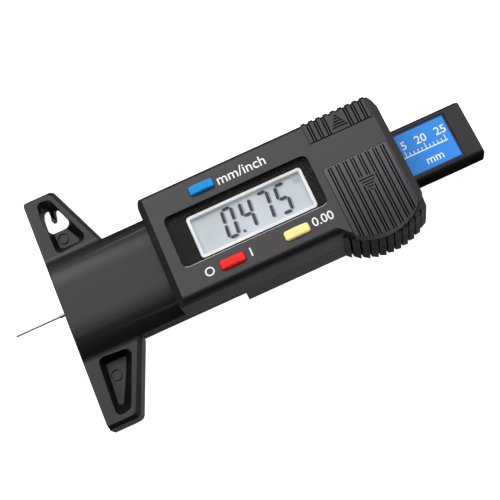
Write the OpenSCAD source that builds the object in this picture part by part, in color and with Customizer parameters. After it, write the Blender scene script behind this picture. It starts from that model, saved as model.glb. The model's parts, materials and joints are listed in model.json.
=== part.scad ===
// Digital tyre tread depth gauge: a T-shaped base with a sliding beam that pushes a steel probe.
// Origin: centre of the probe hole in the base's contact face. +X runs to the tail, +Z out of the display.

/* [Base] */
// Width of the T base across both wings
base_span = 60.6; // [50:0.1:70]
// Height of the wings' upper face above the probe axis
wing_top = 2; // [1:0.1:3]
// Depth of the wings' lower face below the probe axis
wing_bottom = 4; // [2:0.1:4]
// Length of a wing's outer end along the probe
wing_tip_len = 8.5; // [6:0.1:10]
// Length of a wing's root along the probe
wing_root_len = 14.9; // [12:0.1:18]
// Height of the trunk's flat top above the probe axis
trunk_top = 5.3; // [4.5:0.1:6]
// Half width of the trunk at its lower lip
trunk_half = 12.9; // [12.6:0.1:13.2]
// Half width of the chassis under the trunk
strip_half = 12.4; // [12.2:0.1:12.5]

/* [Housing] */
// Where the housing's front wall stands
house_front = 26; // [24:0.1:28]
// Where the housing's rear wall stands
house_rear = 85.8; // [85.4:0.1:87]
// Height of the display face above the probe axis
house_top = 13; // [12.5:0.1:14]
// Half width of the housing just under its rounded upper edge
house_half = 13.3; // [13:0.1:13.6]
// Radius of the rounded upper edge along both sides
edge_r = 1.6; // [1:0.1:1.8]
// Half width of the housing at its lowest edge
house_foot_half = 14.2; // [14:0.1:15]
// Depth of the rear face below the probe axis
back_depth = 4; // [3.8:0.1:5]
// Height of the seam between the housing and the rear cover
seam_z = 3; // [2.8:0.1:3.4]
// Start of the rear cover
cover_front = 40.8; // [40:0.1:42]
// Thickness of the face of the housing
roof = 1.6; // [1.4:0.1:2]
// Thickness of the housing's side walls
wall = 1.4; // [1.2:0.1:1.8]

/* [Thumb grip] */
// Radius of the round thumb grip at the display face
grip_r = 13; // [12.5:0.1:13.5]
// Radius of the toothed side of the thumb grip
tooth_r = 16.5; // [16.2:0.1:16.8]
// Spacing of the ribs on the display face
rib_pitch = 1.833; // [1.8:0.001:1.85]
// Spacing of the teeth round the thumb grip
tooth_pitch = 1.88; // [1.8:0.01:1.9]
// Depth at which a tooth's outer face starts to rise towards its tip
tooth_depth = 0.4; // [0.3:0.1:0.6]

/* [Display] */
// Length of the visible liquid crystal area
lcd_len = 27.1; // [24:0.1:28]
// Width of the visible liquid crystal area
lcd_wid = 9.1; // [8:0.1:10]
// Length of the window pane
pane_len = 35.4; // [33:0.1:36]
// Width of the window pane
pane_wid = 13.2; // [12:0.1:13.6]

/* [Buttons] */
// Length of a button's cap
button_len = 6; // [5:0.1:6.2]
// Width of a button's cap
button_wid = 2.2; // [1.8:0.1:2.4]
// How far a button stands out of the face
button_proud = 1; // [0.6:0.1:1.2]

/* [Beam and probe] */
// Half width of the sliding beam
beam_half = 7.4; // [7:0.1:7.6]
// Height of the beam's upper face above the probe axis
beam_top = 2.7; // [2.4:0.1:3]
// Depth of the beam's lower face below the probe axis
beam_bottom = 1.9; // [1.6:0.1:2]
// Where the beam's tail ends at rest
beam_tail = 104.5; // [102:0.1:106]
// How far the probe stands out of the base at rest
probe_out = 12.9; // [8:0.1:13]
// Radius of the probe's needle
needle_r = 0.26; // [0.25:0.01:0.4]
// Radius of the probe's shank
shank_r = 0.42; // [0.4:0.01:0.6]
// Full travel of the probe
travel = 25.4; // [20:0.1:25.4]

/* [Battery] */
// Radius of the button cell
cell_r = 5.8; // [5.8:0.1:6]
// Height of the button cell
cell_h = 5.4; // [5.4:0.1:5.6]

/* [Hidden] */
$fn = 48;
eps = 0.01;
gap = 0.1;

// Thumb grip and its ribs
grip_at = [75.3, -5.1];
tooth_at = [76.2, -1.8];
first_tooth = 66.8;
teeth = 10;
// One tooth from its tip on, as [distance along X, depth]: a narrow slot, then the face of the next tooth
tooth_slot = [[0, 0], [0.08, 0.95], [0.4, 0.95], [0.5, tooth_depth]];
// The display face's edge bends out to the thumb grip along a small fillet and a 45 degree line
bend_r = 1.8;
bend_at = [64.2, -14];
cover_x0 = 68;
cover_x1 = 83.55;
cover_y = 1.3;
cover_lap = 15.9;
tongue = 0.5;
rib_count = 8;
first_rib = 69.46;
rib_groove = 0.34;
rib_split = 0.31;
rib_deep = 0.4;
arrow_size = 3.9;
arrow_step = 0.7;
arrow_slot = 0.4;
skirt_z = 9.6;
// Sides of the housing: the sharp line where the steep upper band ends
line_y = house_half + 0.66;
line_z = 10.9;
edge_mid = [house_half - 1.1, house_top - edge_r];
steep = 25;
// Display
face_in = house_top - roof;
lcd_mid = [49.5, -0.3];
pane_mid = [48.25, 0];
pane_thick = 1.1;
shelf_top = house_top - 1.5;
shelf_bottom = shelf_top - 1;
frame_rim = 0.75;
finger_y = 8.2;
finger_arrow = [76, 10.7];
cover_arrow = [76, -6.3];
// Buttons: place of each on the face
unit_at = [41.5, 9.6];
power_at = [41.2, -9.65];
zero_at = [56.85, -9.65];
// Electronics
board_bottom = 3.5;
board_thick = 1.1;
board_top = board_bottom + board_thick;
glass_top = 10.4;
glass_thick = 1.5;
// Trunk, and the channel for the beam
crown_y = 4.5;
crown_r = 12.6;
foot_r = 2.5;
nose_bevel = 0.9;
chan_half = beam_half + gap;
chan_top = beam_top + gap;
chan_bottom = beam_bottom + gap;
front_wall = 3;
rail_half = 11.7;
rail_top = board_bottom - 0.1;
frame_end = 84.3;
corner_r = 4;
// Beam
beam_nose = 17.2;
lock_x = 20;
holder_r = 1.5;
beam_chamfer = 0.3;
beam_roll = 1.3;
tail_r = 1.2;
tail_sharp_r = 0.3;
label_x0 = 24;
label_x1 = 100.2;
label_half = 6;
recess = 0.9;
// Battery
cell_at = [76.3, -8.1];
cell_z = 5.7;
// Friction spring
spring_x = 55;
spring_len = 11.6;
spring_high = 2.8;
spring_low = -1.2;
spring_thick = 0.22;
// Screws
screw_xy = [[31.4, 10], [31.4, -10], [64.4, 10.2], [64.4, -10.2], [81.6, 10], [83, -12]];
screw_r = 0.8;
head_r = 1.6;
head_h = 1.1;
head_sink = 0.1;
screw_slack = 0.2;
board_screw_xy = [[36.6, 9.2], [36.6, -8.9]];
board_screw_r = 0.58;
stop_x = 66;
stop_r = 0.86;
to_full_depth = travel - probe_out;

// Points along an arc, from angle a to angle b
function arc(c, r, a, b, n = 12) = [for (i = [0:n]) let (t = a + (b - a) * i / n) c + r * [cos(t), sin(t)]];
// Y of a circle's lower half at a given x
function low_y(c, r, x) = c[1] - sqrt(r * r - (x - c[0]) * (x - c[0]));

// A bar along X whose cross-section is given as [y, z] points
module bar_x(x0, x1, points) {
    translate([x0, 0, 0]) rotate([90, 0, 90]) linear_extrude(x1 - x0) polygon(points);
}

// A plate between two heights
module plate(z0, z1) {
    translate([0, 0, z0]) linear_extrude(z1 - z0) children();
}

module box(low, high) {
    translate(low) cube(high - low);
}

// A rectangle with round corners, centred
module round_rect(size, r) {
    hx = size[0] / 2 - r;
    hy = size[1] / 2 - r;
    polygon(concat(arc([hx, hy], r, 0, 90, 6), arc([-hx, hy], r, 90, 180, 6),
        arc([-hx, -hy], r, 180, 270, 6), arc([hx, -hy], r, 270, 360, 6)));
}

// ---- Base frame -------------------------------------------------------------------------------

// Outline of one wing; inset moves its end and its slanted edge inwards, never the contact face
function wing_pts(inset = 0) = let (w = base_span / 2 - inset, t = wing_tip_len - inset * 0.7) concat(
    [[0, 0], [0, w - 0.3], [0.2, w]], arc([t - 1.9, w - 1.7], 1.7, 90, 25, 5),
    [[wing_root_len - inset, trunk_half], [wing_root_len - inset, 0]]);
// Outline of a wing's pocket at its rim
pocket_rim = concat(arc([4.4, 26.9], 1.4, 190, 70, 5), arc([5.3, 26.6], 1.6, 60, 25, 3),
    arc([9.7, 15.8], 1.5, 20, -80, 5), arc([4.9, 15.4], 1.5, 270, 185, 5));
// Outline of the same pocket near its floor, which ends at y on the trunk's side
function pocket_floor(y) = concat(arc([4.5, 24.4], 1.1, 190, 40, 5), arc([8.6, y + 1], 1, 20, -80, 4),
    arc([5, y + 1.1], 1.1, 270, 185, 4));
floor_end = 14.5;
window_floor_end = 15.8;
pocket_depth = 3.5;
pocket_z = wing_top - pocket_depth;
floor_roll = 0.6;
ejector_at = [5.7, 18.4];
ejector_r = 1.1;
step_z = 0.6;
// Outline of the hanging window, with its hooked prong
window_pts = [[2.8, 21.8], [3.2, 20.9], [3.7, 20.7], [8.3, 20.7], [8.75, 21], [8.8, 21.5],
    [7.4, 25.2], [6.95, 26.3], [6.5, 26.5], [6.2, 26.1], [5.75, 24], [5.4, 23.5], [4.8, 23.6],
    [4.55, 24.1], [5, 26.4], [4.7, 27.1], [4, 27.3], [3.3, 26.8], [2.85, 25.4]];
web = 1.2;
// The trunk's section: a flat crown that rolls off on both sides, down to a lip or to a foot on a wing
crown_z = trunk_top - crown_r;
foot_y = crown_y + sqrt(pow(crown_r + foot_r, 2) - pow(wing_top + foot_r - crown_z, 2));
foot_turn = asin((foot_y - crown_y) / (crown_r + foot_r));
crown_pts = arc([crown_y, crown_z], crown_r, 90, 90 - foot_turn, 8);
shoulder_pts = concat(crown_pts,
    [[trunk_half, crown_z + sqrt(crown_r * crown_r - pow(trunk_half - crown_y, 2))]]);
foot_pts = concat(crown_pts, arc([foot_y, wing_top + foot_r], foot_r, -90 - foot_turn, -90, 6));

module trunk_outline(bottom) {
    polygon(concat(shoulder_pts, [[trunk_half, bottom], [-trunk_half, bottom]],
        [for (i = [len(shoulder_pts) - 1:-1:0]) [-shoulder_pts[i][0], shoulder_pts[i][1]]]));
}

// The fillet along the foot of the trunk, where it runs onto the +Y wing
module trunk_foot() {
    intersection() {
        bar_x(0, wing_root_len, concat([[0, 1], [0, trunk_top]], foot_pts, [[foot_y, 1]]));
        plate(0, trunk_top + 1) polygon(wing_pts(1));
    }
}

// A thin slice of a wing, for the hulls of its sides
module wing_slice(z, inset) {
    plate(z, z + 0.05) polygon(wing_pts(inset));
}

// One wing: a drafted lower flange, a fine step, and an upper rim with a sloped edge
module wing() {
    hull() {
        wing_slice(-wing_bottom, 0.3);
        wing_slice(step_z - 0.05, 0);
    }
    plate(step_z - eps, step_z + 0.25) polygon(wing_pts(0.5));
    hull() {
        wing_slice(step_z + 0.2, 0.3);
        wing_slice(wing_top - 0.05, 1);
    }
}

// The trunk's front edge leans back above the contact face
module nose_prism() {
    translate([0, 20, 0]) rotate([90, 0, 0]) linear_extrude(40) polygon([
        [0, -back_depth], [0, wing_top - 0.2], [nose_bevel, trunk_top + eps],
        [house_front - 0.05, trunk_top + eps], [house_front - 0.05, -back_depth]]);
}

// The pocket's walls roll into its floor
module wing_pocket(y) {
    hull() {
        for (a = [0:22.5:90]) plate(pocket_z + floor_roll * (1 - sin(a)), pocket_z + floor_roll)
            offset(delta = floor_roll * (cos(a) - 1)) polygon(pocket_floor(y));
        plate(wing_top, wing_top + 0.05) polygon(pocket_rim);
    }
}

// The round mark of an ejector pin on a pocket's floor, with a groove round it
module ejector_groove() {
    plate(pocket_z - 0.4, pocket_z + eps) translate(ejector_at) difference() {
        circle(r = ejector_r + 0.35);
        circle(r = ejector_r);
    }
}

module base_frame() {
    color("#3a383a") difference() {
        union() {
            wing();
            mirror([0, 1, 0]) wing();
            intersection() {
                nose_prism();
                union() {
                    rotate([90, 0, 90]) linear_extrude(house_front) trunk_outline(1);
                    trunk_foot();
                    mirror([0, 1, 0]) trunk_foot();
                    bar_x(0, house_front, [[-strip_half + 0.4, 0.4], [strip_half - 0.4, 0.4],
                        [strip_half - 0.4, 1.2], [-strip_half + 0.4, 1.2]]);
                }
            }
            // Chassis under the trunk, which carries on under the housing
            box([1, -strip_half, -back_depth], [house_front + 0.5, strip_half, 0.6]);
            box([house_front, -strip_half, -back_depth], [cover_front - 0.1, strip_half, seam_z - 0.1]);
            // Rails inside the housing
            box([house_front - 0.1, -rail_half, -chan_bottom + eps], [frame_end, rail_half, rail_top]);
            box([house_front - 0.1, -rail_half, 0], [house_front + 3, rail_half, 4]);
        }
        // Channel for the beam, closed at the front by the contact wall
        box([front_wall, -chan_half, -chan_bottom], [frame_end + 1, chan_half, chan_top]);
        box([house_front + 3, -chan_half, 0], [frame_end + 1, chan_half, 6]);
        box([cover_front - 0.1, -chan_half, -back_depth - 1], [frame_end + 1, chan_half, 0]);
        // Probe hole
        rotate([0, 90, 0]) translate([0, 0, -1]) cylinder(r = shank_r + 0.05, h = front_wall + 2);
        // Pockets and the hanging window, which is thinned from below
        wing_pocket(window_floor_end);
        mirror([0, 1, 0]) wing_pocket(floor_end);
        for (side = [0, 1]) mirror([0, side, 0]) ejector_groove();
        plate(-wing_bottom - 1, wing_top) polygon(window_pts);
        plate(-wing_bottom - 1, pocket_z - web) translate([5.6, 23.9]) round_rect([8, 8.4], 1);
        // Seat of the friction spring
        box([spring_x - spring_len / 2 - 0.7, chan_half - 1, spring_low - 0.2],
            [spring_x + spring_len / 2 + 0.7, chan_half + 1.15, rail_top + 1]);
        // Screw holes
        for (p = screw_xy) screw_hole(p);
        for (p = board_screw_xy) translate([p[0], p[1], -1]) cylinder(r = board_screw_r + 0.04, h = 8);
    }
}

// Clearance for a housing screw and its sunk head
module screw_hole(at) {
    translate([at[0], at[1], -back_depth - 1]) {
        cylinder(r = screw_r + screw_slack, h = 12);
        cylinder(r = head_r + 0.15, h = 1 + head_sink + head_h);
    }
}

// ---- Housing ----------------------------------------------------------------------------------

// Plan outline of the housing; half is its straight side, c and r its round thumb grip
function plan(half, rear, c, r) = concat(
    arc([house_front + 1.7, half - 1.7], 1.7, 180, 90, 5),
    arc([rear - corner_r, half - corner_r], corner_r, 80, 0, 6),
    [[rear, low_y(c, r, rear)]],
    grip_arc(c, r, rear, half),
    arc([house_front + 1.7, -half + 1.7], 1.7, 270, 180, 5));
// The grip's edge, from the rear wall to where it meets the straight side
function grip_arc(c, r, rear, half) = let (a = -acos((rear - c[0]) / r), b = asin((half + c[1]) / r) - 180)
    [for (i = [1:15]) let (t = a + (b - a) * i / 16) c + r * [cos(t), sin(t)]];

// Saw teeth round the side of the grip, with a slot behind each tip
function tooth_edge(x, drop) = [x, low_y(tooth_at, tooth_r - drop, x)];
function tooth_pts() = let (x_end = first_tooth + teeth * tooth_pitch) concat(
    [[first_tooth - 1.5, -10], tooth_edge(first_tooth - 1.5, 0.3)],
    [for (i = [0:teeth - 1], p = tooth_slot) tooth_edge(first_tooth + i * tooth_pitch + p[0], p[1])],
    [tooth_edge(x_end - 0.3, 0.3), [house_rear + 0.1, -14.9],
        [house_rear + 0.2, -14], [house_rear + 0.2, -10]]);

module toothed_grip(z0, z1) {
    plate(z0, z1) polygon(tooth_pts());
}

// Side profile that bevels the housing's front and rear edges
module bevel_prism() {
    translate([0, 30, 0]) rotate([90, 0, 0]) linear_extrude(60) polygon([
        [house_front, -back_depth], [house_front, 9.6], [house_front + 1.8, house_top],
        [house_rear - 1.9, house_top], [house_rear, 11.3], [house_rear + 0.2, -back_depth]]);
}

// Half width of the side walls, which lean out a little towards the foot
flank_lean = (house_foot_half - line_y) / (line_z + back_depth);
function flank(z) = line_y + flank_lean * (line_z - z);
module flank_bar(x0, x1, z0, z1) {
    bar_x(x0, x1, [[-flank(z0), z0], [flank(z0), z0], [flank(z1), z1], [-flank(z1), z1]]);
}
// The rounded edge and the steep band below it, as [y, z] points from the top down
function edge_pts(out = 0) = concat(arc(edge_mid + [out, 0], edge_r, 90, steep, 8), [[line_y + out, line_z]]);

module upper_shell() {
    side = edge_pts();
    intersection() {
        bevel_prism();
        union() {
            intersection() {
                plate(seam_z, house_top) polygon(plan(house_foot_half, house_rear, grip_at, grip_r));
                bar_x(house_front, house_rear, concat(
                    side, [[flank(seam_z), seam_z], [-flank(seam_z), seam_z]],
                    [for (i = [len(side) - 1:-1:0]) [-side[i][0], side[i][1]]]));
            }
            // The disc of the thumb grip, with a fine chamfer round its top
            intersection() {
                translate([grip_at[0], grip_at[1], 0]) {
                    translate([0, 0, skirt_z - eps])
                        cylinder(r = grip_r, h = house_top - 0.35 - skirt_z, $fn = 96);
                    translate([0, 0, house_top - 0.4])
                        cylinder(r1 = grip_r - 0.05, r2 = grip_r - 0.35, h = 0.4, $fn = 96);
                }
                plate(0, 20) polygon(concat([[bend_at[0], -8]], arc(bend_at, bend_r, 90, 45, 4),
                    [bend_at + [bend_r, bend_r] / sqrt(2) + [20, -20], [house_rear, -30], [house_rear, -8]]));
            }
            // Teeth, whose tops slope down from the disc
            intersection() {
                toothed_grip(seam_z, skirt_z - 0.4);
                translate([grip_at[0], grip_at[1], seam_z])
                    cylinder(r1 = grip_r + skirt_z - seam_z, r2 = grip_r + 0.1,
                        h = skirt_z - 0.4 - seam_z, $fn = 96);
            }
        }
    }
}

module button_opening(at) {
    translate([at[0], at[1], 0]) plate(face_in - 2, house_top + 1)
        round_rect([button_len + 2 * gap, button_wid + 2 * gap], 0.55);
}

// V grooves in pairs that leave a wide and a narrow rib in turn, over a field of the display face
module rib_grooves(y0, y1, top) {
    for (i = [0:rib_count - 1], side = [-1, 1])
        translate([first_rib + i * rib_pitch + side * rib_split, y1, top]) rotate([90, 0, 0])
            linear_extrude(y1 - y0)
                polygon([[0, -rib_deep], [rib_groove, rib_deep], [-rib_groove, rib_deep]]);
}

// The finger grip's wide ribs carry on over the +Y edge as low bumps
module finger_bumps() {
    for (i = [0:rib_count]) {
        x = first_rib + (i - 0.5) * rib_pitch;
        bar_x(x - 0.5, x + 0.5, concat([[edge_mid[0] - 1, house_top]], edge_pts(0.35),
            [[line_y - 1, line_z], [edge_mid[0] - 1, house_top - 1]]));
    }
}

// A triangle pointing along -Y
module arrow_outline(size) {
    polygon([[-size / 2, size * 0.42], [size / 2, size * 0.42], [0, -size * 0.52]]);
}

// Five slots that make a striped arrow; dir is 1 for an arrow along +Y
module arrow_cut(at, dir, top) {
    intersection() {
        plate(top - rib_deep, top + 1) translate(at) mirror([0, dir > 0 ? 1 : 0, 0])
            arrow_outline(arrow_size);
        for (i = [-2:2]) let (y = at[1] + i * arrow_step)
            box([at[0] - arrow_size, y - arrow_slot / 2, 0], [at[0] + arrow_size, y + arrow_slot / 2, 20]);
    }
}

module field_groove() {
    difference() {
        box([cover_x0 - 0.15, finger_y - 0.15, house_top - rib_deep], [cover_x1 + 0.15, 20, house_top + 1]);
        box([cover_x0 + 0.15, finger_y + 0.15, 0], [cover_x1 - 0.15, 30, 20]);
    }
}

module front_housing() {
    color("#403e40") difference() {
        union() {
            difference() {
                upper_shell();
                // Hollow inside
                box([house_front + wall, -house_half + wall, seam_z - 1],
                    [house_rear - wall, house_half - wall, face_in]);
                intersection() {
                    plate(seam_z - 1, face_in)
                        polygon(plan(house_half - wall, house_rear - wall, grip_at, grip_r - wall));
                    box([66, -30, 0], [house_rear - wall, 0, 20]);
                }
            }
            finger_bumps();
            // Shelf under the window pane
            plate(shelf_bottom, shelf_top + 0.1) translate(pane_mid)
                square([pane_len + 2, pane_wid + 2], center = true);
            // Bosses for the screws
            for (p = screw_xy) translate([p[0], p[1], board_top + 0.3])
                cylinder(r = 1.9, h = face_in - board_top);
            // Battery well
            translate([cell_at[0], cell_at[1], board_top + 0.25])
                cylinder(r = cell_r + 1.1, h = face_in - board_top);
        }
        // Window pocket and the opening for the display's frame
        plate(shelf_top, house_top + 1) translate(pane_mid) round_rect([pane_len, pane_wid], 1.4);
        plate(shelf_bottom - 1, house_top) translate(lcd_mid)
            round_rect([lcd_len + 2 * frame_rim + 0.1, lcd_wid + 2 * frame_rim + 0.1], 0.9);
        // Button openings
        for (at = [unit_at, power_at, zero_at]) button_opening(at);
        // Battery opening, its slide grooves and the well's bore
        box([cover_x0 - gap, -25, face_in - eps], [cover_x1 + gap, cover_y + gap, house_top + 1]);
        box([cover_x0 - tongue - 0.15, -25, face_in - eps],
            [cover_x1 + tongue + 0.15, cover_y + gap, face_in + 0.75]);
        box([cover_x0 - gap, -25, skirt_z - 0.15], [cover_x1 + gap, 0.15 - cover_lap, house_top]);
        translate([cell_at[0], cell_at[1], cell_z - 0.25]) cylinder(r = cell_r + 0.2, h = 10);
        box([72, -9.6, board_top], [79.5, -3.3, cell_z + 1]);
        box([73.2, -3.3, board_top], [79.4, 1, 10]);
        // Screw bores
        for (p = screw_xy) translate([p[0], p[1], 0]) cylinder(r = screw_r - 0.02, h = 10.6);
        // Passage for the base frame and the beam
        box([house_front - 1, -rail_half - gap, 0], [house_front + 3.1, rail_half + gap, 4.1]);
        box([80, -chan_half - 0.1, 0], [house_rear + 1, chan_half + 0.1, chan_top + 0.15]);
        // Finger grip: its ribs, the groove round its field, and its arrow
        difference() {
            rib_grooves(finger_y, 20, house_top);
            box([finger_arrow[0] - 1.75, finger_y - 1, 0], [finger_arrow[0] + 1.45, 30, 20]);
        }
        field_groove();
        arrow_cut(finger_arrow, 1, house_top);
    }
}

module rear_cover() {
    color("#343234") difference() {
        union() {
            intersection() {
                plate(-back_depth, seam_z - 0.05) polygon(concat(
                    [[cover_front, house_foot_half]],
                    arc([house_rear - corner_r, house_foot_half - corner_r], corner_r, 80, 0, 6),
                    [[house_rear + 0.2, 8], [house_rear + 0.2, -10], [cover_front + 26, -house_foot_half],
                        [cover_front, -house_foot_half]]));
                flank_bar(cover_front, house_rear, -back_depth, seam_z);
            }
            toothed_grip(-back_depth, seam_z - 0.05);
        }
        // Tray for the rails
        box([cover_front - 1, -rail_half - 0.1, -chan_bottom], [frame_end + 0.1, rail_half + 0.1, 6]);
        // Way out for the beam
        box([80, -chan_half, -chan_bottom], [house_rear + 1, chan_half, 6]);
        // Slot for the stop screw
        box([stop_x - to_full_depth - head_r - 0.3, -head_r - 0.2, -back_depth + 0.8],
            [stop_x + probe_out + head_r + 0.3, head_r + 0.2, 0]);
        // Hollow of the thumb grip
        intersection() {
            plate(-back_depth + 1.4, 6) polygon(plan(house_half, house_rear - wall, tooth_at, tooth_r - 1.9));
            box([68, -30, -10], [80.5, -rail_half - 1.3, 10]);
        }
        for (i = [2:5]) screw_hole(screw_xy[i]);
    }
}

// ---- Display ----------------------------------------------------------------------------------

module display_window() {
    color([0.1, 0.1, 0.1, 0.5]) plate(shelf_top + 0.05, shelf_top + 0.05 + pane_thick) translate(pane_mid)
        round_rect([pane_len - 0.2, pane_wid - 0.2], 1.3);
}

module lcd_frame() {
    color("white") translate([lcd_mid[0], lcd_mid[1], 0]) difference() {
        union() {
            plate(board_top + 0.05, shelf_bottom - 0.1) round_rect([lcd_len + 3.4, lcd_wid + 4.2], 0.6);
            plate(shelf_bottom - 0.2, shelf_top - 0.05)
                round_rect([lcd_len + 2 * frame_rim, lcd_wid + 2 * frame_rim], 0.85);
        }
        plate(board_top - 1, glass_top + 0.05) square([lcd_len + 1.2, lcd_wid + 2], center = true);
        plate(glass_top - 1, house_top) round_rect([lcd_len, lcd_wid], 0.35);
    }
}

module lcd_glass() {
    color([0.8, 0.82, 0.84]) translate([lcd_mid[0], lcd_mid[1], 0]) {
        plate(glass_top - glass_thick, glass_top - 0.7) square([lcd_len + 1, lcd_wid + 1.8], center = true);
        plate(glass_top - 0.7, glass_top) square([lcd_len + 1, lcd_wid + 0.6], center = true);
    }
}

module contact_strips() {
    color("#d8a0a0") for (side = [-1, 1]) translate([lcd_mid[0], lcd_mid[1] + side * (lcd_wid / 2 - 0.1), 0])
        plate(board_top + 0.05, glass_top - glass_thick - 0.05) square([lcd_len - 1, 1.6], center = true);
}

// ---- Electronics ------------------------------------------------------------------------------

module main_board() {
    color("#1d5a34") difference() {
        plate(board_bottom, board_top) union() {
            translate([34.6, -11.6]) square([27.6, 23.2]);
            translate([60, -7.6]) square([23, 15]);
        }
        for (p = board_screw_xy) translate([p[0], p[1], 0]) cylinder(r = 0.75, h = 10);
    }
}

module chip_cover() {
    color("#151515") translate([49, -0.3, board_top + 0.02]) intersection() {
        cylinder(r = 3.2, h = 1.2);
        translate([0, 0, -4.3]) sphere(r = 5.4);
    }
}

module crystal() {
    color("silver") translate([56, 0.4, board_top + 0.95]) rotate([0, 90, 0]) cylinder(r = 0.9, h = 5);
}

module capacitors() {
    color("#b08a50") for (p = [[41.5, 1.6], [41.5, -1.4], [44.3, 0.1], [67, 4.4], [69.5, 4.4]])
        translate([p[0], p[1], board_top + 0.02]) plate(0, 0.8) square([1.6, 0.8], center = true);
}

module tact_switches() {
    color("silver") for (p = [unit_at, power_at, zero_at]) translate([p[0], p[1], 0]) {
        plate(board_top + 0.02, 8.1) square([4.5, 3.1], center = true);
        translate([0, 0, 8]) cylinder(r = 0.8, h = 0.6);
    }
}

// A push button: domed cap, a flange that holds it under the face, and a stem
module push_button(at) {
    cap_z = house_top + button_proud;
    translate([at[0], at[1], 0]) {
        intersection() {
            plate(face_in - 0.1, cap_z) round_rect([button_len, button_wid], 0.45);
            translate([0, 10, cap_z - 14]) rotate([90, 0, 0]) cylinder(r = 14, h = 20, $fn = 96);
        }
        plate(face_in - 0.85, face_in - 0.05) square([button_len + 1.2, button_wid + 0.7], center = true);
        plate(9.2, face_in - 0.8) square([2.6, 1.5], center = true);
    }
}

module unit_button() {
    color("#1c8fd6") push_button(unit_at);
}

module power_button() {
    color("#d8281c") push_button(power_at);
}

module zero_button() {
    color("#f0dc78") push_button(zero_at);
}

// ---- Battery ----------------------------------------------------------------------------------

module battery_cover() {
    top = house_top + 0.05;
    color("#403e40") difference() {
        union() {
            intersection() {
                plate(face_in + 0.05, top) polygon(plan(house_half, house_rear, grip_at, grip_r));
                box([cover_x0, -25, 0], [cover_x1, cover_y, 20]);
            }
            // Tongues that run in the housing's grooves
            intersection() {
                plate(face_in + 0.05, face_in + 0.65)
                    polygon(plan(house_half, house_rear, grip_at, grip_r - 0.3));
                box([cover_x0 - tongue, -25, 0], [cover_x1 + tongue, cover_y - 0.3, 20]);
            }
            // Skirt over the edge of the grip
            intersection() {
                plate(skirt_z + 0.05, face_in + 0.1) polygon(plan(house_half, house_rear, grip_at, grip_r));
                box([cover_x0, -25, 0], [cover_x1, -cover_lap, 20]);
            }
        }
        // Ribs and arrow
        difference() {
            rib_grooves(-25, cover_y - 0.3, top);
            plate(0, 20) translate(cover_arrow) arrow_outline(arrow_size + 1);
        }
        arrow_cut(cover_arrow, -1, top);
    }
}

module coin_cell() {
    color("silver") translate([cell_at[0], cell_at[1], cell_z]) {
        translate([0, 0, 0.5]) cylinder(r = cell_r, h = cell_h - 0.5);
        cylinder(r = cell_r - 1.2, h = 0.6);
    }
}

module battery_contact_pos() {
    color("gold") {
        box([74.4, -2.15, board_top + 0.02], [78.2, -1.95, 9]);
        box([74.4, -2.0, board_top + 0.02], [78.2, -0.6, board_top + 0.22]);
    }
}

module battery_contact_neg() {
    color("gold") translate([0, -4.6, 0]) rotate([90, 0, 0]) linear_extrude(2.6) polygon([
        [73, board_top + 0.02], [75.2, board_top + 0.02], [77.6, cell_z - 0.5], [78.6, cell_z - 0.25],
        [78.6, cell_z - 0.05], [77.6, cell_z - 0.28], [75, board_top + 0.22], [73, board_top + 0.22]]);
}

// ---- Fasteners --------------------------------------------------------------------------------

// A pan-head screw pointing up, with a cross recess in its head
module screw(at, z, r, head, head_height, len) {
    translate([at[0], at[1], z]) difference() {
        union() {
            cylinder(r = head, h = head_height);
            cylinder(r = r, h = len);
        }
        for (a = [0, 90]) rotate([0, 0, a])
            translate([-head * 0.6, -0.16, -eps]) cube([head * 1.2, 0.32, head_height * 0.55]);
    }
}

module housing_screws() {
    color("silver") for (p = screw_xy) screw(p, -back_depth + head_sink, screw_r - 0.05, head_r, head_h, 14);
}

module board_screws() {
    color("silver") for (p = board_screw_xy) translate([0, 0, board_top + 0.85]) mirror([0, 0, 1])
        screw(p, 0, board_screw_r, 1.2, 0.8, 4.6);
}

// A bowed strip that rubs on the side of the beam
module friction_spring() {
    bow_r = 23;
    color("#c9a45c") plate(spring_low, spring_low + spring_high) intersection() {
        translate([spring_x, beam_half + 0.05 + bow_r]) difference() {
            circle(r = bow_r, $fn = 180);
            circle(r = bow_r - spring_thick, $fn = 180);
        }
        translate([spring_x - spring_len / 2, 0]) square([spring_len, 12]);
    }
}

// ---- Beam -------------------------------------------------------------------------------------

module beam_outline(inset) {
    hw = beam_half - inset;
    tail = beam_tail - inset;
    polygon(concat([[beam_nose, -hw]],
        arc([tail - tail_sharp_r, -hw + tail_sharp_r], tail_sharp_r, -90, 0, 4),
        arc([tail - tail_r, hw - tail_r], tail_r, 0, 90, 6), [[beam_nose, hw]]));
}

// The beam's section: its upper edges roll off beside the label
beam_section = let (y = beam_half - beam_roll, z = beam_top - beam_roll) concat(
    [[-beam_half, -beam_bottom], [beam_half, -beam_bottom]],
    arc([y, z], beam_roll, 0, 90, 6), arc([-y, z], beam_roll, 90, 180, 6));

module beam() {
    color("#2c2a2c") difference() {
        intersection() {
            union() {
                plate(-beam_bottom + beam_chamfer, beam_top) beam_outline(0);
                plate(-beam_bottom, -beam_bottom + beam_chamfer) beam_outline(0.25);
            }
            bar_x(beam_nose, beam_tail, beam_section);
        }
        box([label_x0, -label_half, beam_top - recess], [label_x1, label_half, beam_top + 1]);
        rotate([0, 90, 0]) translate([0, 0, beam_nose - 1]) cylinder(r = holder_r, h = 7);
        rotate([0, 90, 0]) cylinder(r = shank_r + 0.02, h = 27);
        translate([lock_x, 0, 0]) cylinder(r = 0.85, h = 6);
        translate([stop_x, 0, -beam_bottom - 1]) cylinder(r = stop_r + 0.04, h = 3.4);
    }
}

module scale_board() {
    color("#1d5a34") box([label_x0 + 0.15, -label_half + 0.15, beam_top - recess + 0.02],
        [label_x1 - 0.15, label_half - 0.15, beam_top - 0.27]);
}

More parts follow.
